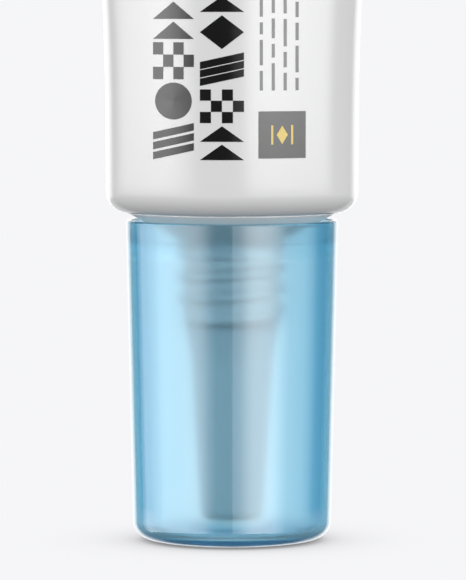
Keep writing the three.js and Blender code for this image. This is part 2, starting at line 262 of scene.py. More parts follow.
class CapSizes(bpy.types.PropertyGroup):
    """Sizes of the cap shell, its threaded collar and the sealing wad."""

    base: length("Base radius", "Outer radius just above the rounded base edge", 13.75)
    fillet: length("Base edge", "Radius of the rounded base edge", 2.5)
    inner_fillet: length("Inner edge", "Radius of the rounding inside the floor", 1.4)
    wall: length("Wall", "Thickness of the cap's wall", 1.05)
    rim: length("Rim edge", "Radius of the rounding of the cap's rim", 0.25)
    floor: length("Floor", "Thickness of the cap's floor", 1.2)
    bead: length("Seat bead", "Depth of the bead that carries the collar", 0.25)
    bead_drop: length("Seat bead drop", "Cap rim down to the middle of the bead", 3.6)
    collar_wall: length("Collar wall", "Thickness of the threaded collar", 0.9)
    ring_wall: length("Wad ring wall", "Thickness of the ring round the wad", 0.8)
    ring_height: length("Wad ring height", "Height of the ring round the wad", 1.0)


class TubeColours(bpy.types.PropertyGroup):
    """Colours of the plastics and inks."""

    film: colour("Film", "Colour of the glossy sleeve", (0.86, 0.86, 0.865))
    # painted shade: this dark grey darkens the head's white plastic
    moulding: colour("Head", "Colour of the head", (0.41, 0.4, 0.4))
    # painted shade: a grey darker than the nozzle's white plastic, for the shade inside the cap
    spout: colour("Nozzle", "Colour of the nozzle", (0.52, 0.54, 0.56))
    ink: colour("Ink", "Colour of the large print", (0.008, 0.008, 0.008))
    fine_ink: colour("Fine ink", "Colour of the fine print", (0.16, 0.16, 0.16))
    badge: colour("Badge", "Colour of the square badge", (0.06, 0.06, 0.06))
    badge_mark: colour("Badge mark", "Colour of the mark on the badge", (0.86, 0.62, 0.1))
    dye: bpy.props.FloatVectorProperty(
        name="Cap dye", description="Red, green and blue light lost in a metre of plastic",
        default=(290.0, 90.0, 28.0), size=3, min=0.0)
    clear: colour("Clear plastic", "Colour of the cap's clear outer face", (0.97, 0.99, 1.0))
    tint: colour("Cap tint", "Colour of the cap's frosted inner face", (0.76, 0.83, 0.86))
    wad: colour("Wad", "Colour of the foamed wad", (0.8, 0.8, 0.77))
    cream: colour("Cream", "Colour of the cream", (0.9, 0.87, 0.8))


class StageSettings(bpy.types.PropertyGroup):
    """Camera, floor and lights."""

    lens: bpy.props.FloatProperty(
        name="Lens", description="Focal length in millimetres", default=284.2, min=1.0)
    distance: length("Distance", "Camera to the tube's axis, measured level", 636.0)
    height: length("Height", "Height of the camera above the floor", 74.9)
    pitch: bpy.props.FloatProperty(
        name="Pitch", description="How far the camera looks down", default=math.radians(3.624),
        subtype="ANGLE")
    aside: length("Aside", "Camera's distance to the right of the tube's axis", 0.14)
    pale: colour("Backdrop", "Colour of floor and background", (0.92, 0.92, 0.938))


# ---- Profiles and skins


def arc(centre_radius, centre_height, radius, start, stop, steps=10):
    """Points on a circular arc in the profile plane, between two angles in degrees."""
    points = []
    for i in range(steps + 1):
        angle = math.radians(start + (stop - start) * i / steps)
        points.append((centre_radius + radius * math.cos(angle),
                       centre_height + radius * math.sin(angle)))
    return points


def softened(corners, steps=5):
    """A profile whose corners are rounded off; they are given as (radius, height, rounding in
    millimetres)."""
    points = []
    for i, (radius, height, rounding) in enumerate(corners):
        here = Vector((radius, height))
        if rounding <= 0:
            points.append((radius, height))
            continue
        before = Vector(corners[i - 1][:2]) - here
        after = Vector(corners[(i + 1) % len(corners)][:2]) - here
        reach = min(rounding * MM, before.length * 0.45, after.length * 0.45)
        start = here + before.normalized() * reach
        stop = here + after.normalized() * reach
        for k in range(steps + 1):
            t = k / steps
            spot = start * (1 - t) ** 2 + here * (2 * t * (1 - t)) + stop * t ** 2
            points.append((spot.x, spot.y))
    return points


def filled_in(profile, longest):
    """The profile with extra points, so that no step is longer than the given one."""
    points = [profile[0]]
    for end in profile[1:]:
        start = points[-1]
        count = max(1, math.ceil(math.dist(start, end) / longest))
        for k in range(1, count + 1):
            points.append((start[0] + (end[0] - start[0]) * k / count,
                           start[1] + (end[1] - start[1]) * k / count))
    return points


def thread_profile(profile):
    """A closed profile in steps fine enough to carry a thread."""
    return filled_in(profile + [profile[0]], FINEST_STEP)[:-1]


def mesh_object(name, vertices, faces, material, sharp=40):
    """A smooth-shaded mesh object with its material, linked into the scene."""
    mesh = bpy.data.meshes.new(name)
    mesh.from_pydata(vertices, [], faces)
    mesh.materials.append(material)
    mesh.polygons.foreach_set("use_smooth", [True] * len(faces))
    mesh.update()
    mesh.set_sharp_from_angle(angle=math.radians(sharp))
    piece = bpy.data.objects.new(name, mesh)
    bpy.context.scene.collection.objects.link(piece)
    return piece


def ring_skin(rings, closed):
    """Vertices and faces of a skin over rings of points; an open stack is capped at both ends."""
    around = len(rings[0])
    vertices = [point for ring in rings for point in ring]
    faces = []
    slabs = len(rings) if closed else len(rings) - 1
    for i in range(slabs):
        below = i * around
        above = (i + 1) % len(rings) * around
        for j in range(around):
            k = (j + 1) % around
            faces.append((below + j, below + k, above + k, above + j))
    if not closed:
        for ring, turn in ((0, -1), (len(rings) - 1, 1)):
            start = ring * around
            middle = [sum(p[axis] for p in rings[ring]) / around for axis in range(3)]
            vertices.append(tuple(middle))
            hub = len(vertices) - 1
            for j in range(around):
                edge = (start + j, start + (j + 1) % around)
                faces.append((*edge[::turn], hub))
    return vertices, faces


def turned(name, profile, material, around, closed=False, swell=None):
    """A turned piece. swell, if given, moves a point out from the axis by its angle and height."""
    rings = []
    for radius, height in profile:
        ring = []
        for j in range(around):
            angle = 2 * math.pi * j / around
            out = radius + (swell(radius, height, angle) if swell else 0.0)
            ring.append((out * math.cos(angle), out * math.sin(angle), height))
        rings.append(ring)
    vertices, faces = ring_skin(rings, closed)
    return mesh_object(name, vertices, faces, material)


def eased(value):
    """0 to 1, with a soft start and end."""
    value = min(max(value, 0.0), 1.0)
    return value * value * (3 - 2 * value)


def thread_ridge(height, angle, mark, pitch, low, high):
    """Share of the full ridge of a right-hand thread at a height and angle."""
    front = -math.pi / 2
    turns = (height - mark) / pitch - (angle - front) / (2 * math.pi)
    offset = turns - round(turns)
    crest = height - offset * pitch
    flank = eased((RIDGE_REACH - abs(offset)) / RIDGE_FLANK)
    run_in = eased((crest - low) / (RIDGE_RUN_OUT * pitch))
    run_out = eased((high - crest) / (RIDGE_RUN_OUT * pitch))
    return flank * run_in * run_out


# ---- Materials


def node(tree, kind, inputs=(), **settings):
    """Adds a shader node; inputs are values, or sockets to join, by name or number."""
    made = tree.nodes.new("ShaderNode" + kind)
    for name, value in settings.items():
        setattr(made, name, value)
    for name, value in dict(inputs).items():
        if isinstance(value, bpy.types.NodeSocket):
            tree.links.new(value, made.inputs[name])
        else:
            made.inputs[name].default_value = value
    return made


def ramp(tree, share, stops, interpolation="LINEAR"):
    """Colours that follow a share from 0 to 1, by stops of (place, colour)."""
    made = node(tree, "ValToRGB", {"Fac": share})
    made.color_ramp.interpolation = interpolation
    elements = made.color_ramp.elements
    elements.remove(elements[1])
    for i, (place, tone) in enumerate(stops):
        element = elements.new(place) if i else elements[0]
        element.position = place
        element.color = (*tone, 1.0)
    return made.outputs["Color"]


def mixed(tree, share, usual, other, blend="MIX"):
    """Mixes one colour with another, which is a socket or a plain colour."""
    if not isinstance(other, bpy.types.NodeSocket):
        other = (*other, 1.0)
    return node(tree, "MixRGB", {"Fac": share, "Color1": usual, "Color2": other},
                blend_type=blend).outputs["Color"]


def height_share(tree, low, high):
    """Share that grows from 0 to 1 between two heights."""
    split = node(tree, "SeparateXYZ", {0: node(tree, "TexCoord").outputs["Object"]})
    return node(tree, "MapRange", {"Value": split.outputs["Z"], "From Min": low,
                                   "From Max": high}).outputs["Result"]


def recoloured(material, change):
    """Puts a change between a plastic's colour and its shader."""
    colour_socket = material.node_tree.nodes["Principled BSDF"].inputs["Base Color"]
    changed = change(colour_socket.links[0].from_socket)
    material.node_tree.links.new(changed, colour_socket)


def finish(name, base, shade=0.96, grain=400.0, roughness=0.2, spread=0.03, bump=0.0,
           bump_grain=2500.0, sockets=()):
    """A plastic whose colour and roughness drift a little, with a fine moulded or frosted grain."""
    material = bpy.data.materials.new(name)
    material.use_nodes = True
    tree = material.node_tree
    join = tree.links.new
    shader = tree.nodes["Principled BSDF"]
    place = node(tree, "TexCoord").outputs["Object"]
    drift = node(tree, "TexNoise", {"Vector": place, "Scale": grain, "Detail": 3.0})
    drift = drift.outputs["Fac"]
    tones = ((0.3, [c * shade for c in base]), (0.7, base))
    join(ramp(tree, drift, tones), shader.inputs["Base Color"])
    rough = node(tree, "MapRange", {"Value": drift, "To Min": max(roughness - spread, 0.0),
                                    "To Max": roughness + spread}, name="roughness")
    join(rough.outputs["Result"], shader.inputs["Roughness"])
    if bump:
        fine = node(tree, "TexNoise", {"Vector": place, "Scale": bump_grain, "Detail": 4.0})
        relief = node(tree, "Bump", {"Height": fine.outputs["Fac"], "Strength": bump,
                                     "Distance": RELIEF_DEPTH}, name="relief")
        join(relief.outputs["Normal"], shader.inputs["Normal"])
    for socket, value in sockets:
        shader.inputs[socket].default_value = value
    return material


def lets_light_through(material, tint):
    """Lets soft light pass straight through a clear piece, so that what is inside is well lit;
    the shader is kept for what is seen."""
    tree = material.node_tree
    rays = node(tree, "LightPath").outputs
    soft = node(tree, "Math", {0: rays["Is Shadow Ray"], 1: rays["Is Diffuse Ray"]},
                operation="MAXIMUM")
    straight = node(tree, "BsdfTransparent", {"Color": (*tint, 1.0)})
    mix = node(tree, "MixShader", {0: soft.outputs["Value"],
                                   1: tree.nodes["Principled BSDF"].outputs["BSDF"],
                                   2: straight.outputs["BSDF"]})
    tree.links.new(mix.outputs["Shader"], tree.nodes["Material Output"].inputs["Surface"])


def dyed(material, lost):
    """Dyes a clear material through its thickness; lost is the light lost per metre."""
    tree = material.node_tree
    strongest = max(lost)
    dye = node(tree, "VolumeAbsorption", {
        "Density": strongest, "Color": (*(1 - value / strongest for value in lost), 1.0)})
    tree.links.new(dye.outputs["Volume"], tree.nodes["Material Output"].inputs["Volume"])


def paint_lit_band_above(material, height, tone):
    """Turns a plastic to another tone above a height; on the head this paints a film-white lit band
    over its darker tone.
    """
    tree = material.node_tree
    share = height_share(tree, height - LIT_BAND_BLEND, height + LIT_BAND_BLEND)
    recoloured(material, lambda usual: mixed(tree, share, usual, tone))


def gloss(name, tone, shade=0.9, grain=300.0):
    """The same gloss for the sleeve's film and for the ink that is printed on it."""
    return finish(name, tone, shade, grain, roughness=0.15, spread=0.015, bump=0.02,
                  bump_grain=900.0)


def film_finish(colours):
    """Glossy white film of the sleeve."""
    return gloss("glossy_film", colours.film, shade=0.99, grain=60.0)


# ---- Sleeve


def half_width_for(half_depth, girth):
    """Half the width of an ellipse of known half depth and girth."""
    low = girth / (2 * math.pi)
    high = girth / 4
    for _ in range(40):
        width = (low + high) / 2
        h = ((width - half_depth) / (width + half_depth)) ** 2
        ellipse = math.pi * (width + half_depth) * (1 + 3 * h / (10 + math.sqrt(4 - 3 * h)))
        if ellipse > girth:
            high = width
        else:
            low = width
    return (low + high) / 2


def body_section(height, sizes):
    """Half width, half depth and fullness of the sleeve at a height."""
    low = sizes.shoulder
    high = SLEEVE_HIGH - sizes.seal_height
    share = min(max((height - low) / (high - low), 0.0), 1.0)
    late = share ** PINCH_LATE_POWER
    depth_left = 1 - PINCH_EARLY * share ** PINCH_EARLY_POWER - (1 - PINCH_EARLY) * late
    half_depth = sizes.wall + (SLEEVE_RADIUS - sizes.wall) * depth_left
    half_width = half_width_for(half_depth, 2 * math.pi * SLEEVE_RADIUS)
    return half_width, half_depth, 1 - SQUARENESS * late ** SQUARENESS_POWER


def section_ring(height, section, inset, around):
    """Ring of points on a section, drawn in by a distance."""
    half_width, half_depth, fullness = section
    ring = []
    for j in range(around):
        angle = 2 * math.pi * j / around
        sine = math.sin(angle)
        depth = math.copysign(abs(sine) ** fullness, sine)
        ring.append(((half_width - inset) * math.cos(angle), (half_depth - inset) * depth, height))
    return ring


def on_sleeve(x, z, lift, sizes):
    """The point on the printed front of the sleeve at a place across and up."""
    half_width, half_depth, fullness = body_section(z, sizes)
    share = min(abs(x) / half_width, 1.0)
    slope = math.sqrt(1 - share ** 2)
    return (x * (1 + lift / half_width), -(half_depth + lift) * slope ** fullness, z)


class TUBE_OT_sleeve(bpy.types.Operator):
    """Thin sleeve: round with a rolled-in lower edge, pinched flat towards the weld"""

    bl_idname = "tube.sleeve"
    bl_label = "Sleeve"

    def execute(self, context):
        sizes = context.scene.tube_sizes
        around = AROUND_WIDE
        low = sizes.shoulder
        high = SLEEVE_HIGH - sizes.seal_height
        corner = sizes.shoulder - sizes.foot
        centre = SLEEVE_RADIUS - corner
        inner = corner - sizes.wall

        def mouth_angle(radius):
            return -math.degrees(math.acos((sizes.mouth - centre) / radius))

        edge = arc(centre, low, inner, 0, mouth_angle(inner), 14)
        edge += arc(centre, low, corner, mouth_angle(corner), 0, 18)
        inside = [low + (high - low) * (1 - (i + 0.5) / BODY_STEPS) for i in range(BODY_STEPS)]
        rings = [section_ring(z, body_section(z, sizes), sizes.wall, around) for z in inside]
        rings += [section_ring(z, (r, r, 1.0), 0.0, around) for r, z in edge]
        outside = [low + (high - low) * (i + 1) / BODY_STEPS for i in range(BODY_STEPS)]
        outside.append(high + SEAL_OVERLAP)
        rings += [section_ring(z, body_section(z, sizes), 0.0, around) for z in outside]
        vertices, faces = ring_skin(rings, closed=False)
        material = film_finish(context.scene.tube_colours)
        sleeve = mesh_object("sleeve_film", vertices, faces, material)
        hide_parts("tube_sleeve")
        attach(sleeve, "tube")
        return {"FINISHED"}


class TUBE_OT_seal_band(bpy.types.Operator):
    """Welded flat band with fine upright ribs on both faces"""

    bl_idname = "tube.seal_band"
    bl_label = "Seal Band"

    def execute(self, context):
        sizes = context.scene.tube_sizes
        low = SLEEVE_HIGH - sizes.seal_height
        high = SLEEVE_HIGH
        half_width = body_section(low, sizes)[0] - 0.02 * MM
        across = SEAL_COLUMNS
        foot, full = RIB_EDGE
        rows = softened([(0, low, 0), (0, low + foot, 0.4), (1, low + full, 0.4),
                         (1, high - full, 0.4), (0, high - foot, 0.4),
                         (0, high - 0.12 * MM, 0), (-0.6, high, 0)], 3)
        rings = []
        for ribbed, z in rows:
            front = []
            for j in range(across + 1):
                x = half_width * (2 * j / across - 1)
                wave = 0.5 - 0.5 * math.cos(2 * math.pi * x / sizes.rib_pitch)
                room = eased((half_width - abs(x)) / RIB_MARGIN)
                dent = sizes.rib_depth * max(ribbed, 0) * wave * room
                edge = math.sqrt(max(1 - (abs(x) / half_width) ** SEAL_SIDE_POWER, 0.0))
                thick = (sizes.wall + min(ribbed, 0) * 0.2 * MM) * max(edge, SEAL_SIDE_LEAST)
                front.append((x, -(thick - dent), z))
            back = [(x, -y, z) for x, y, z in reversed(front)]
            rings.append(front + back)
        vertices, faces = ring_skin(rings, closed=False)
        material = film_finish(context.scene.tube_colours)
        band = mesh_object("sleeve_seal_band", vertices, faces, material, sharp=50)
        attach(band, "tube")
        return {"FINISHED"}


# ---- Print


def quad(corners, longest=0.8 * MM):
    """Grid of places inside four corners, given as (across, up)."""
    a, b, c, d = (Vector(corner) for corner in corners)
    columns = max(1, math.ceil(max((b - a).length, (c - d).length) / longest))
    rows = max(1, math.ceil(max((d - a).length, (c - b).length) / longest))
    grid = []
    for i in range(rows + 1):
        left = a.lerp(d, i / rows)
        right = b.lerp(c, i / rows)
        grid.append([tuple(left.lerp(right, j / columns)) for j in range(columns + 1)])
    return grid, False


def bar(x0, x1, z0, z1):
    """An upright rectangle of ink."""
    return quad(((x0, z0), (x1, z0), (x1, z1), (x0, z1)))


def disc(x, z, reach, around=48):
    """A disc of ink."""
    grid = []
    for radius in (reach, reach / 2, ON_AXIS):
        grid.append([(x + radius * math.cos(2 * math.pi * j / around),
                      z + radius * math.sin(2 * math.pi * j / around))
                     for j in range(around)])
    return grid, True


def slab(grid, closed, lift, sizes):
    """Vertices and faces of thin ink on the sleeve over a grid of places."""
    rows = len(grid)
    columns = len(grid[0])
    vertices = [on_sleeve(x, z, height, sizes)
                for height in (lift, -sizes.ink) for row in grid for x, z in row]
    under = rows * columns
    steps = columns if closed else columns - 1
    faces = []
    for i in range(rows - 1):
        for j in range(steps):
            k = (j + 1) % columns
            a, b = i * columns + j, i * columns + k
            d, c = a + columns, b + columns
            faces.append((a, b, c, d))
            faces.append((under + d, under + c, under + b, under + a))
    border = [(j, (j + 1) % columns) for j in range(steps)]
    last = (rows - 1) * columns
    border += [(last + k, last + j) for j, k in border]
    if not closed:
        border += [(i * columns + columns - 1, (i + 1) * columns + columns - 1)
                   for i in range(rows - 1)]
        border += [((i + 1) * columns, i * columns) for i in range(rows - 1)]
    faces += [(b, a, under + a, under + b) for a, b in border]
    return vertices, faces


def printed(name, grids, material, sizes, lift):
    """Thin ink that follows the sleeve, from grids of places; those that close are rings."""
    vertices = []
    faces = []
    for grid, closed in grids:
        first = len(vertices)
        new_vertices, new_faces = slab(grid, closed, lift, sizes)
        vertices += new_vertices
        faces += [tuple(first + i for i in face) for face in new_faces]
    ink = mesh_object(name, vertices, faces, material)
    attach(ink, "tube")
    return ink


def motif(kind, x0, x1, z0, z1, stroke):
    """One plain geometric motif of the large print, inside a box."""
    middle_x = (x0 + x1) / 2
    middle_z = (z0 + z1) / 2
    if kind == "disc":
        return [disc(middle_x, middle_z, min(x1 - x0, z1 - z0) / 2)]
    if kind == "diamond":
        return [quad(((middle_x, z0), (x1, middle_z), (middle_x, z1), (x0, middle_z)))]
    if kind == "slashes":
        rise = 1.3 * stroke
        pitch = (z1 - z0 - rise - stroke) / 2
        return [quad(((x0, z), (x1, z + rise), (x1, z + rise + stroke), (x0, z + stroke)))
                for z in (z0 + i * pitch for i in range(3))]
    if kind == "wedges":
        tip = 0.05 * MM
        half = (z1 - z0) / 2 - 0.2 * stroke
        return [quad(((x0, z), (x1, z), (middle_x + tip, z + half), (middle_x - tip, z + half)))
                for z in (z0, z1 - half)]
    across = (x1 - x0) / 4
    up = (z1 - z0) / 3
    return [bar(x0 + i * across, x0 + (i + 1) * across, z0 + j * up, z0 + (j + 1) * up)
            for i in range(4) for j in range(3) if (i + j) % 2 == 0]


class TUBE_OT_print(bpy.types.Operator):
    """Plain geometric print: two columns of motifs, fine broken lines and a square badge"""

    bl_idname = "tube.print"
    bl_label = "Print"

    def execute(self, context):
        sizes = context.scene.tube_sizes
        colours = context.scene.tube_colours
        self.motifs(sizes, gloss("large_ink", colours.ink))
        self.fine_lines(sizes, gloss("fine_ink", colours.fine_ink))
        self.badge(sizes, colours)
        return {"FINISHED"}

    def motifs(self, sizes, material):
        """Two columns of motifs that run up the sleeve."""
        for name, x0, x1, step, kinds in MOTIF_COLUMNS:
            grids = []
            for i, kind in enumerate(kinds):
                z0 = PRINT_LOW + i * step
                grids += motif(kind, x0, x1, z0, z0 + step - PRINT_GAP, PRINT_STROKE)
            printed(name, grids, material, sizes, sizes.ink)

    def fine_lines(self, sizes, material):
        """Fine broken lines beside the columns."""
        grids = []
        for row in range(LINES):
            x = LINES_LEFT + LINES_PITCH * row
            z = LINES_LOW
            count = 0
            while z < LINES_HIGH - LINES_STEP_DOWN * row:
                share = 0.5 + 0.5 * math.sin(2.3 * count + 1.7 * row)
                dash = DASH_SHORTEST + DASH_SPREAD * share
                grids.append(bar(x, x + DASH_WIDTH, z, z + dash))
                z += dash + DASH_GAP
                count += 1
        printed("print_fine_lines", grids, material, sizes, sizes.ink)

    def badge(self, sizes, colours):
        """Square badge with a plain mark: a diamond between two bars."""
        x0, x1, z0, z1 = BADGE
        dark = gloss("badge_ink", colours.badge)
        mark = gloss("badge_mark_ink", colours.badge_mark)
        printed("print_badge", [bar(x0, x1, z0, z1)], dark, sizes, sizes.ink)
        x, z = (x0 + x1) / 2, (z0 + z1) / 2
        half = 0.6 * BADGE_REACH
        grids = [quad(((x, z - BADGE_REACH), (x + half, z), (x, z + BADGE_REACH), (x - half, z)),
                      BADGE_FINEST)]
        offset, half_width, half_height = BADGE_BAR
        for bar_x in (x - offset, x + offset):
            grids.append(bar(bar_x - half_width, bar_x + half_width,
                             z - half_height, z + half_height))
        printed("print_badge_mark", grids, mark, sizes, 1.8 * sizes.ink)


# ---- Head and nozzle


class TUBE_OT_head(bpy.types.Operator):
    """Moulded shoulder and neck with a right-hand screw thread"""

    bl_idname = "tube.head"
    bl_label = "Head"

    def execute(self, context):
        sizes = context.scene.tube_sizes
        colours = context.scene.tube_colours
        low = sizes.shoulder
        edge_radius = sizes.mouth - GAP
        corner = sizes.shoulder - sizes.foot
        centre = SLEEVE_RADIUS - corner
        corner -= sizes.wall + GAP
        break_height = SLEEVE_LOW - BREAK_DROP
        foot_height = break_height - FOOT_DROP
        outer = softened([
            (sizes.neck_bore, HEAD_LOW, 0.2),
            (sizes.neck, HEAD_LOW, 0.25),
            (sizes.neck, foot_height - 0.5 * MM, 0.4),
            (FOOT_RADIUS, foot_height, 0.4),
            (FOOT_RADIUS, foot_height + FOOT_STRAIGHT, 1.2),
            (BREAK_RADIUS, break_height, 1.2),
            (edge_radius, sizes.foot, 0.15),
        ])
        inner = softened([
            (HEAD_RADIUS, HEAD_HIGH, 0.2),
            (HEAD_RADIUS - HEAD_WALL, HEAD_HIGH, 0.2),
            (HEAD_RADIUS - HEAD_WALL, low, 0.8),
            (edge_radius - CONE_INSET, SLEEVE_LOW + CONE_RISE, 0.8),
            (BREAK_RADIUS - CONE_INSET, break_height + CONE_RISE, 0.8),
            (sizes.neck_bore, foot_height + FUNNEL_RISE, 0.6),
        ])
        profile = thread_profile(outer + arc(centre, low, corner, -90, 0, 12) + inner)
        low_thread = HEAD_LOW + THREAD_START
        high_thread = foot_height - THREAD_END

        def swell(radius, height, angle):
            if abs(radius - sizes.neck) > ON_WALL or not HEAD_LOW < height < foot_height:
                return 0.0
            share = thread_ridge(height, angle, sizes.thread_mark, sizes.thread_pitch,
                                 low_thread, high_thread)
            return share * sizes.thread_depth

        material = finish("head_plastic", colours.moulding, shade=0.97, grain=150.0,
                          roughness=0.32, bump=0.1, bump_grain=1800.0)
        # painted light and shade: film white in a band under the sleeve, the darker head tone below
        paint_lit_band_above(material, SLEEVE_LOW - LIT_BAND_DROP, colours.film)
        head = turned("head_moulding", profile, material, AROUND_THREAD, True, swell)
        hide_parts("tube_head")
        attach(head, "tube")
        return {"FINISHED"}


class TUBE_OT_nozzle(bpy.types.Operator):
    """Nozzle: plug in the neck, step-down cone and long tapered spout"""

    bl_idname = "tube.nozzle"
    bl_label = "Nozzle"

    def execute(self, context):
        sizes = context.scene.tube_sizes
        root = HEAD_LOW - GAP
        cone_end = root - NOZZLE_CONE
        plug = sizes.neck_bore - GAP
        profile = softened([
            (sizes.orifice, NOZZLE_LOW + ORIFICE_LENGTH, 0),
            (sizes.orifice, NOZZLE_LOW, 0.25),
            (sizes.spout_tip, NOZZLE_LOW, sizes.tip_round / MM),
            (sizes.spout_root, cone_end, 1.6),
            (sizes.neck - GAP, root - NOZZLE_FLANGE, 0.3),
            (sizes.neck, root, 0.12),
            (plug, root, 0.1),
            (plug, NOZZLE_HIGH, 0.3),
            (plug - NOZZLE_WALL, NOZZLE_HIGH, 0.2),
            (plug - NOZZLE_WALL, root, 0.6),
            (sizes.spout_root - SPOUT_WALL, cone_end, 1.2),
            (sizes.spout_tip - SPOUT_WALL, NOZZLE_LOW + BORE_START, 0.6),
        ], 8)
        # painted shade: the nozzle's grey tone darkens its white plastic
        material = finish("nozzle_plastic", context.scene.tube_colours.spout, grain=200.0,
                          roughness=0.34, bump=0.12, bump_grain=1500.0)
        nozzle = turned("nozzle_moulding", profile, material, AROUND_THREAD, closed=True)
        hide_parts("nozzle")
        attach(nozzle, "tube")
        return {"FINISHED"}


class TUBE_OT_cream(bpy.types.Operator):
    """Cream that fills the sleeve and the head"""

    bl_idname = "tube.cream"
    bl_label = "Cream"

    def execute(self, context):
        sizes = context.scene.tube_sizes
        inset = sizes.wall + CREAM_GAP
        low = HEAD_HIGH + CREAM_GAP
        narrow = sizes.neck_bore - CREAM_NECK_GAP
        skirt = HEAD_RADIUS - CREAM_SKIRT_INSET
        foot = SLEEVE_LOW - CREAM_FOOT_DROP
        wide = SLEEVE_RADIUS - inset - 0.2 * MM
        start = low + 1.2 * MM
        profile = softened([
            (narrow * 0.2, CREAM_LOW, 0), (narrow, CREAM_LOW, 0.5), (narrow, foot, 0.5),
            (skirt, sizes.shoulder + CREAM_SKIRT_INSET, 0.8), (skirt, low, 0.3),
            (wide, low, 0.3), (wide, start, 0),
        ])
        rings = [section_ring(z, (r, r, 1.0), 0.0, AROUND_SMALL) for r, z in profile]
        for i in range(1, CREAM_STEPS + 1):
            z = start + (CREAM_HIGH - start) * i / CREAM_STEPS
            rings.append(section_ring(z, body_section(z, sizes), inset + 0.02 * MM, AROUND_SMALL))
        vertices, faces = ring_skin(rings, closed=False)
        material = finish("soft_cream", context.scene.tube_colours.cream, grain=120.0,
                          roughness=0.5, spread=0.05, bump=0.2, bump_grain=600.0)
        cream = mesh_object("cream_body", vertices, faces, material)
        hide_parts("cream_fill")
        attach(cream, "tube")
        return {"FINISHED"}


# ---- Cap


def cap_finish(colours):
    """Dyed clear plastic: glossy outside, finely frosted where the frost attribute says so, with
    painted shade and a painted bright band towards its outline above the base.
    """
    material = finish("dyed_cap_plastic", colours.clear, shade=0.99, grain=80.0,
                      roughness=0.02, spread=0.01, bump=FROST_GRAIN, bump_grain=3200.0,
                      sockets=(("Transmission Weight", 1.0), ("IOR", 1.47)))
    tree = material.node_tree
    frost = node(tree, "Attribute", attribute_name=FROST).outputs["Fac"]
    rough = node(tree, "Math", {0: frost, 1: FROST_ROUGHNESS,
                                2: tree.nodes["roughness"].outputs["Result"]},
                 operation="MULTIPLY_ADD")
    tree.links.new(rough.outputs["Value"], tree.nodes["Principled BSDF"].inputs["Roughness"])
    depth = node(tree, "Math", {0: frost, 1: FROST_GRAIN}, operation="MULTIPLY")
    tree.links.new(depth.outputs["Value"], tree.nodes["relief"].inputs["Strength"])
    # painted shade and highlight: the outer face's colour follows how far it turns from view
    painted_edge = ramp(tree, node(tree, "LayerWeight").outputs["Facing"], GRAZING_SHADE_AND_HIGHLIGHT)
    above_base = height_share(tree, EDGE_PAINT_START, EDGE_PAINT_FULL)

    def tinted(usual):
        edge = mixed(tree, above_base, usual, painted_edge, "MULTIPLY")
        return mixed(tree, frost, edge, colours.tint)

    recoloured(material, tinted)
    dyed(material, colours.dye)
    lets_light_through(material, CAP_SHADE)
    return material


class TUBE_OT_cap_shell(bpy.types.Operator):
    """Tall cap: a clear glossy cup that is frosted and tinted inside"""

    bl_idname = "tube.cap_shell"
    bl_label = "Cap Shell"

    def execute(self, context):
        sizes = context.scene.cap_sizes
        colours = context.scene.tube_colours

        def wall_radius(height):
            share = (height - sizes.fillet) / (CAP_HIGH - sizes.fillet)
            return sizes.base + (CAP_RIM_RADIUS - sizes.base) * share

        def inside(height):
            return wall_radius(height) - sizes.wall

        rim = sizes.rim
        rim_height = CAP_HIGH - rim
        bead_height = CAP_HIGH - sizes.bead_drop
        ring_inner = WAD_RADIUS + GAP
        ring_outer = ring_inner + sizes.ring_wall
        ring_top = sizes.floor + sizes.ring_height
        fillet_top = sizes.floor + sizes.inner_fillet
        outer = [(ON_AXIS, CAP_LOW)]
        outer += arc(sizes.base - sizes.fillet, sizes.fillet, sizes.fillet, -90, 0, 16)
        outer += arc(wall_radius(rim_height) - rim, rim_height, rim, 0, 90, 8)
        inner = arc(inside(rim_height) + rim, rim_height, rim, 90, 180, 8)
        inner += softened([
            (inside(rim_height), rim_height - 0.2 * MM, 0),
            (inside(bead_height), bead_height + BEAD_REACH, 0.9),
            (inside(bead_height) - sizes.bead, bead_height, 1.4),
            (inside(bead_height), bead_height - BEAD_REACH, 0.9),
            (inside(bead_height - BEAD_FOOT), bead_height - BEAD_FOOT, 0),
        ])
        inner += arc(inside(fillet_top) - sizes.inner_fillet, fillet_top,
                     sizes.inner_fillet, 0, -90, 12)
        inner += softened([
            (ring_outer + RING_MARGIN, sizes.floor, 0),
            (ring_outer, sizes.floor, 0.15),
            (ring_outer, ring_top, 0.2),
            (ring_inner, ring_top, 0.2),
            (ring_inner, sizes.floor, 0.15),
            (ring_inner - RING_MARGIN, sizes.floor, 0),
        ])
        inner.append((ON_AXIS, sizes.floor))
        profile = outer + inner
        shell = turned("cap_cup", profile, cap_finish(colours), AROUND_WIDE)
        frosted = shell.data.attributes.new(FROST, "FLOAT", "POINT")
        first = len(outer) * AROUND_WIDE
        for i in range(len(shell.data.vertices)):
            frosted.data[i].value = 1.0 if i >= first else 0.0
        frosted.data[len(profile) * AROUND_WIDE].value = 0.0
        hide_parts("cap_shell")
        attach(shell, "cap")
        return {"FINISHED"}


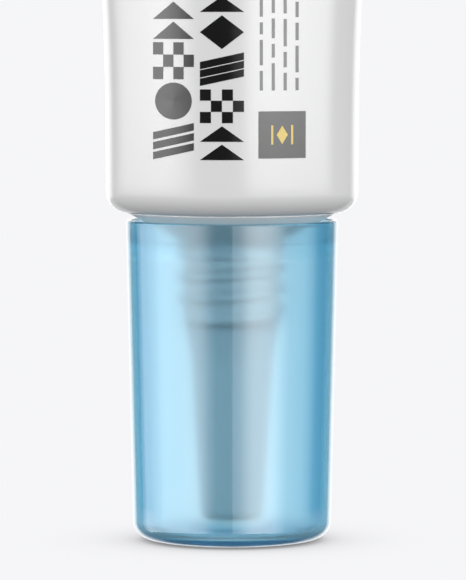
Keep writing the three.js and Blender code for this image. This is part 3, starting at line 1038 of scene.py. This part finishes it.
class TUBE_OT_cap_collar(bpy.types.Operator):
    """Threaded collar on a cone, held by a bead inside the cap's mouth"""

    bl_idname = "tube.cap_collar"
    bl_label = "Cap Collar"

    def execute(self, context):
        sizes = context.scene.cap_sizes
        tube = context.scene.tube_sizes
        wall = sizes.collar_wall
        bore = tube.neck + tube.thread_depth + THREAD_CLEARANCE
        break_height = SLEEVE_LOW - COLLAR_DROP
        collar_top = COLLAR_LOW + COLLAR_LENGTH
        slope = (break_height - collar_top) / (BREAK_RADIUS - bore)
        under = 1.4 * wall
        chamfer_width, chamfer_height = BAND_CHAMFER
        band_top = COLLAR_HIGH - chamfer_height
        profile = thread_profile(softened([
            (bore, COLLAR_LOW, 0.15),
            (bore + wall, COLLAR_LOW, 0.2),
            (bore + wall, collar_top + slope * wall - under, 0.5),
            (BREAK_RADIUS, break_height - under, 0.5),
            (BAND_RADIUS - wall, band_top - BAND_HEIGHT, 0.2),
            (BAND_RADIUS, band_top - BAND_HEIGHT, 0.2),
            (BAND_RADIUS, band_top, 0.15),
            (BAND_RADIUS - chamfer_width, COLLAR_HIGH, 0.15),
            (BREAK_RADIUS, break_height, 0.5),
            (bore, collar_top, 0.2),
        ]))

        def swell(radius, height, angle):
            if abs(radius - bore) > ON_WALL:
                return 0.0
            half_turn = tube.thread_mark + tube.thread_pitch / 2
            share = thread_ridge(height, angle, half_turn, tube.thread_pitch,
                                 COLLAR_LOW + GROOVE_START, collar_top - GROOVE_END)
            return -share * tube.thread_depth

        material = finish("collar_plastic", context.scene.tube_colours.clear, shade=0.98,
                          grain=80.0, roughness=0.08, spread=0.02,
                          sockets=(("Transmission Weight", 1.0), ("IOR", 1.01)))
        lets_light_through(material, (1.0, 1.0, 1.0))
        collar = turned("cap_collar", profile, material, AROUND_THREAD, True, swell)
        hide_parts("cap_insert")
        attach(collar, "cap")
        return {"FINISHED"}


class TUBE_OT_cap_wad(bpy.types.Operator):
    """Foamed sealing wad under the nozzle's tip"""

    bl_idname = "tube.cap_wad"
    bl_label = "Cap Wad"

    def execute(self, context):
        profile = softened([
            (ON_AXIS, WAD_LOW, 0),
            (WAD_RADIUS, WAD_LOW, 0.25),
            (WAD_RADIUS, WAD_HIGH, 0.3),
            (WAD_RADIUS * 0.8, WAD_HIGH, 0.3),
            (WAD_RADIUS * 0.6, WAD_HIGH - WAD_DISH, 0.4),
            (ON_AXIS, WAD_HIGH - WAD_DISH, 0),
        ])
        material = finish("wad_foam", context.scene.tube_colours.wad, shade=0.9, grain=2500.0,
                          roughness=0.7, spread=0.05, bump=0.6)
        wad = turned("sealing_wad", profile, material, AROUND_SMALL)
        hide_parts("cap_seal")
        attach(wad, "seal")
        return {"FINISHED"}


# ---- Stage


def softbox(name, stops, low, high, distance=1.0, step=6.0, only=None, soft=False):
    """A curved upright softbox, seen only in gloss, whose brightness follows stops of
    (azimuth in degrees, radiance); azimuth 0 is towards the camera and 90 is to the right.
    It lights everything, or only the pieces of a collection."""
    for (start, first), (stop, last) in zip(stops, stops[1:]):
        count = max(1, math.ceil(abs(stop - start) / step))
        for i in range(count):
            share = (i + 0.5) / count
            angle = math.radians(start + (stop - start) * share)
            width = 2 * distance * math.tan(math.radians(abs(stop - start) / count) / 2)
            lamp = bpy.data.lights.new(name, "AREA")
            lamp.shape = "RECTANGLE"
            lamp.size = width
            lamp.size_y = high - low
            radiance = first + (last - first) * share
            lamp.energy = radiance * math.pi * lamp.size * lamp.size_y
            panel = bpy.data.objects.new(name, lamp)
            panel.location = (distance * math.sin(angle), -distance * math.cos(angle),
                              (low + high) / 2)
            panel.rotation_euler = (math.pi / 2, 0.0, angle)
            panel.visible_diffuse = soft
            panel.visible_transmission = False
            panel.visible_camera = False
            if only:
                panel.light_linking.receiver_collection = only
            bpy.context.scene.collection.objects.link(panel)


class TUBE_OT_stage(bpy.types.Operator):
    """Pale floor with a painted contact shadow, soft even sky, and the camera"""

    bl_idname = "tube.stage"
    bl_label = "Stage"

    def execute(self, context):
        stage = context.scene.tube_stage
        self.camera(context, stage)
        self.floor(stage)
        self.sky(context, stage)
        context.scene.view_settings.view_transform = "Standard"
        return {"FINISHED"}

    def camera(self, context, stage):
        """The camera, a little above the cap and looking slightly down."""
        data = bpy.data.cameras.new("camera")
        data.sensor_width = 36.0
        data.lens = stage.lens
        data.clip_end = 20.0
        camera = bpy.data.objects.new("camera", data)
        camera.location = (stage.aside, -stage.distance, stage.height)
        camera.rotation_euler = (math.pi / 2 - stage.pitch, 0.0, 0.0)
        context.scene.collection.objects.link(camera)
        context.scene.camera = camera

    def floor(self, stage):
        """A wide pale floor with a painted soft contact shadow round the cap's base and a painted
        brighter pool of light under the cap.
        """
        half = FLOOR_HALF
        corners = [(x, y, -FLOOR_DROP)
                   for x, y in ((-half, -half), (half, -half), (half, half), (-half, half))]
        material = bpy.data.materials.new("pale_floor")
        material.use_nodes = True
        tree = material.node_tree
        tree.nodes.remove(tree.nodes["Principled BSDF"])
        away = node(tree, "VectorMath", {0: node(tree, "TexCoord").outputs["Object"],
                                         1: (0.0, -SHADOW_AHEAD, 0.0)}, operation="DISTANCE")
        share = node(tree, "MapRange", {"Value": away.outputs["Value"],
                                        "From Max": SHADOW_REACH})
        # painted shadow and pool of light: the floor's glow follows the distance from a point just
        # in front of the axis
        stops = [(radius * MM / SHADOW_REACH, [tone * light for tone in stage.pale])
                 for radius, light in PAINTED_SHADOW_AND_GLOW]
        shine = node(tree, "Emission", {
            "Color": ramp(tree, share.outputs["Result"], stops, "B_SPLINE")})
        tree.links.new(shine.outputs["Emission"], tree.nodes["Material Output"].inputs["Surface"])
        floor = mesh_object("floor", corners, [(0, 1, 2, 3)], material)
        floor.visible_glossy = False
        floor.visible_diffuse = False

    def sky(self, context, stage):
        """Even white light for matt surfaces, a dark room in front and a pale wall behind for
        glossy ones, and the plain backdrop for the camera."""
        world = bpy.data.worlds.new("studio")
        world.use_nodes = True
        tree = world.node_tree
        way = node(tree, "SeparateXYZ", {0: node(tree, "TexCoord").outputs["Generated"]}).outputs
        soft = self.gradient(tree, way["Z"], SKY_STOPS)
        room = self.gradient(tree, way["Y"], ROOM_STOPS)
        rays = node(tree, "LightPath").outputs
        glossy = mixed(tree, rays["Is Glossy Ray"], soft, room)
        shown = mixed(tree, rays["Is Camera Ray"], glossy, stage.pale)
        clear = mixed(tree, rays["Is Transmission Ray"], shown, stage.pale)
        tree.links.new(clear, tree.nodes["Background"].inputs["Color"])
        context.scene.world = world

    def gradient(self, tree, height, stops):
        """Grey levels along a direction that runs from -1 to 1; stops are placed from 0 to 1."""
        share = node(tree, "MapRange", {"Value": height, "From Min": -1.0})
        return ramp(tree, share.outputs["Result"], [(place, [level] * 3) for place, level in stops])


class TUBE_OT_lights(bpy.types.Operator):
    """Tall softboxes whose reflections run up the sleeve and the cap"""

    bl_idname = "tube.lights"
    bl_label = "Lights"

    def execute(self, context):
        film = self.pieces("film_pieces", "sleeve_", "print_")
        plastic = self.pieces("plastic_pieces", "cap_", "head_", "nozzle_", "sealing_", "cream_")
        for name, stops in FILM_BOXES.items():
            softbox(name, stops, FILM_LOW, BOX_HIGH, only=film)
        for name, stops in PLASTIC_BOXES.items():
            softbox(name, stops, PLASTIC_LOW, BOX_HIGH, only=plastic)
        cup = self.pieces("cup_pieces", "cap_cup")
        for side in (-1, 1):
            for (name, start, level, low), only in zip(EDGE_BOXES, (film, cup)):
                softbox(name, ((side * start, level), (side * EDGE_END, level)), low, EDGE_HIGH,
                        step=10.0, only=only)
        head = self.pieces("head_pieces", "head_")
        for stops in LIP_BOXES:
            softbox("lip_box", stops, LIP_LOW, LIP_HIGH, step=12.0, only=head, soft=True)
        return {"FINISHED"}

    def pieces(self, name, *starts):
        """A collection of the pieces whose names start so, for light linking."""
        group = bpy.data.collections.new(name)
        for piece in bpy.data.objects:
            if piece.name.startswith(starts):
                group.objects.link(piece)
        return group


# ---- Panel, registration and run

PIECE_OPERATORS = (
    TUBE_OT_stage, TUBE_OT_sleeve, TUBE_OT_seal_band, TUBE_OT_print, TUBE_OT_head,
    TUBE_OT_nozzle, TUBE_OT_cream, TUBE_OT_cap_shell, TUBE_OT_cap_collar, TUBE_OT_cap_wad,
    TUBE_OT_lights,
)


class TUBE_PT_panel(bpy.types.Panel):
    """Lists the pieces of the tube"""

    bl_idname = "TUBE_PT_panel"
    bl_label = "Squeeze Tube"
    bl_space_type = "VIEW_3D"
    bl_region_type = "UI"
    bl_category = "Tube"

    def draw(self, context):
        for operator in PIECE_OPERATORS:
            self.layout.operator(operator.bl_idname)


SETTINGS = (
    ("tube_sizes", TubeSizes),
    ("cap_sizes", CapSizes),
    ("tube_colours", TubeColours),
    ("tube_stage", StageSettings),
)


def register():
    """Registers the settings, the operators and the panel."""
    for name, group in SETTINGS:
        bpy.utils.register_class(group)
        setattr(bpy.types.Scene, name, bpy.props.PointerProperty(type=group))
    for operator in PIECE_OPERATORS:
        bpy.utils.register_class(operator)
    bpy.utils.register_class(TUBE_PT_panel)


def unregister():
    """Removes what register added."""
    bpy.utils.unregister_class(TUBE_PT_panel)
    for operator in reversed(PIECE_OPERATORS):
        bpy.utils.unregister_class(operator)
    for name, group in reversed(SETTINGS):
        delattr(bpy.types.Scene, name)
        bpy.utils.unregister_class(group)


def main():
    """Builds the whole tube."""
    register()
    for operator in PIECE_OPERATORS:
        group, _, name = operator.bl_idname.partition(".")
        getattr(getattr(bpy.ops, group), name)()


if __name__ == "__main__":
    main()
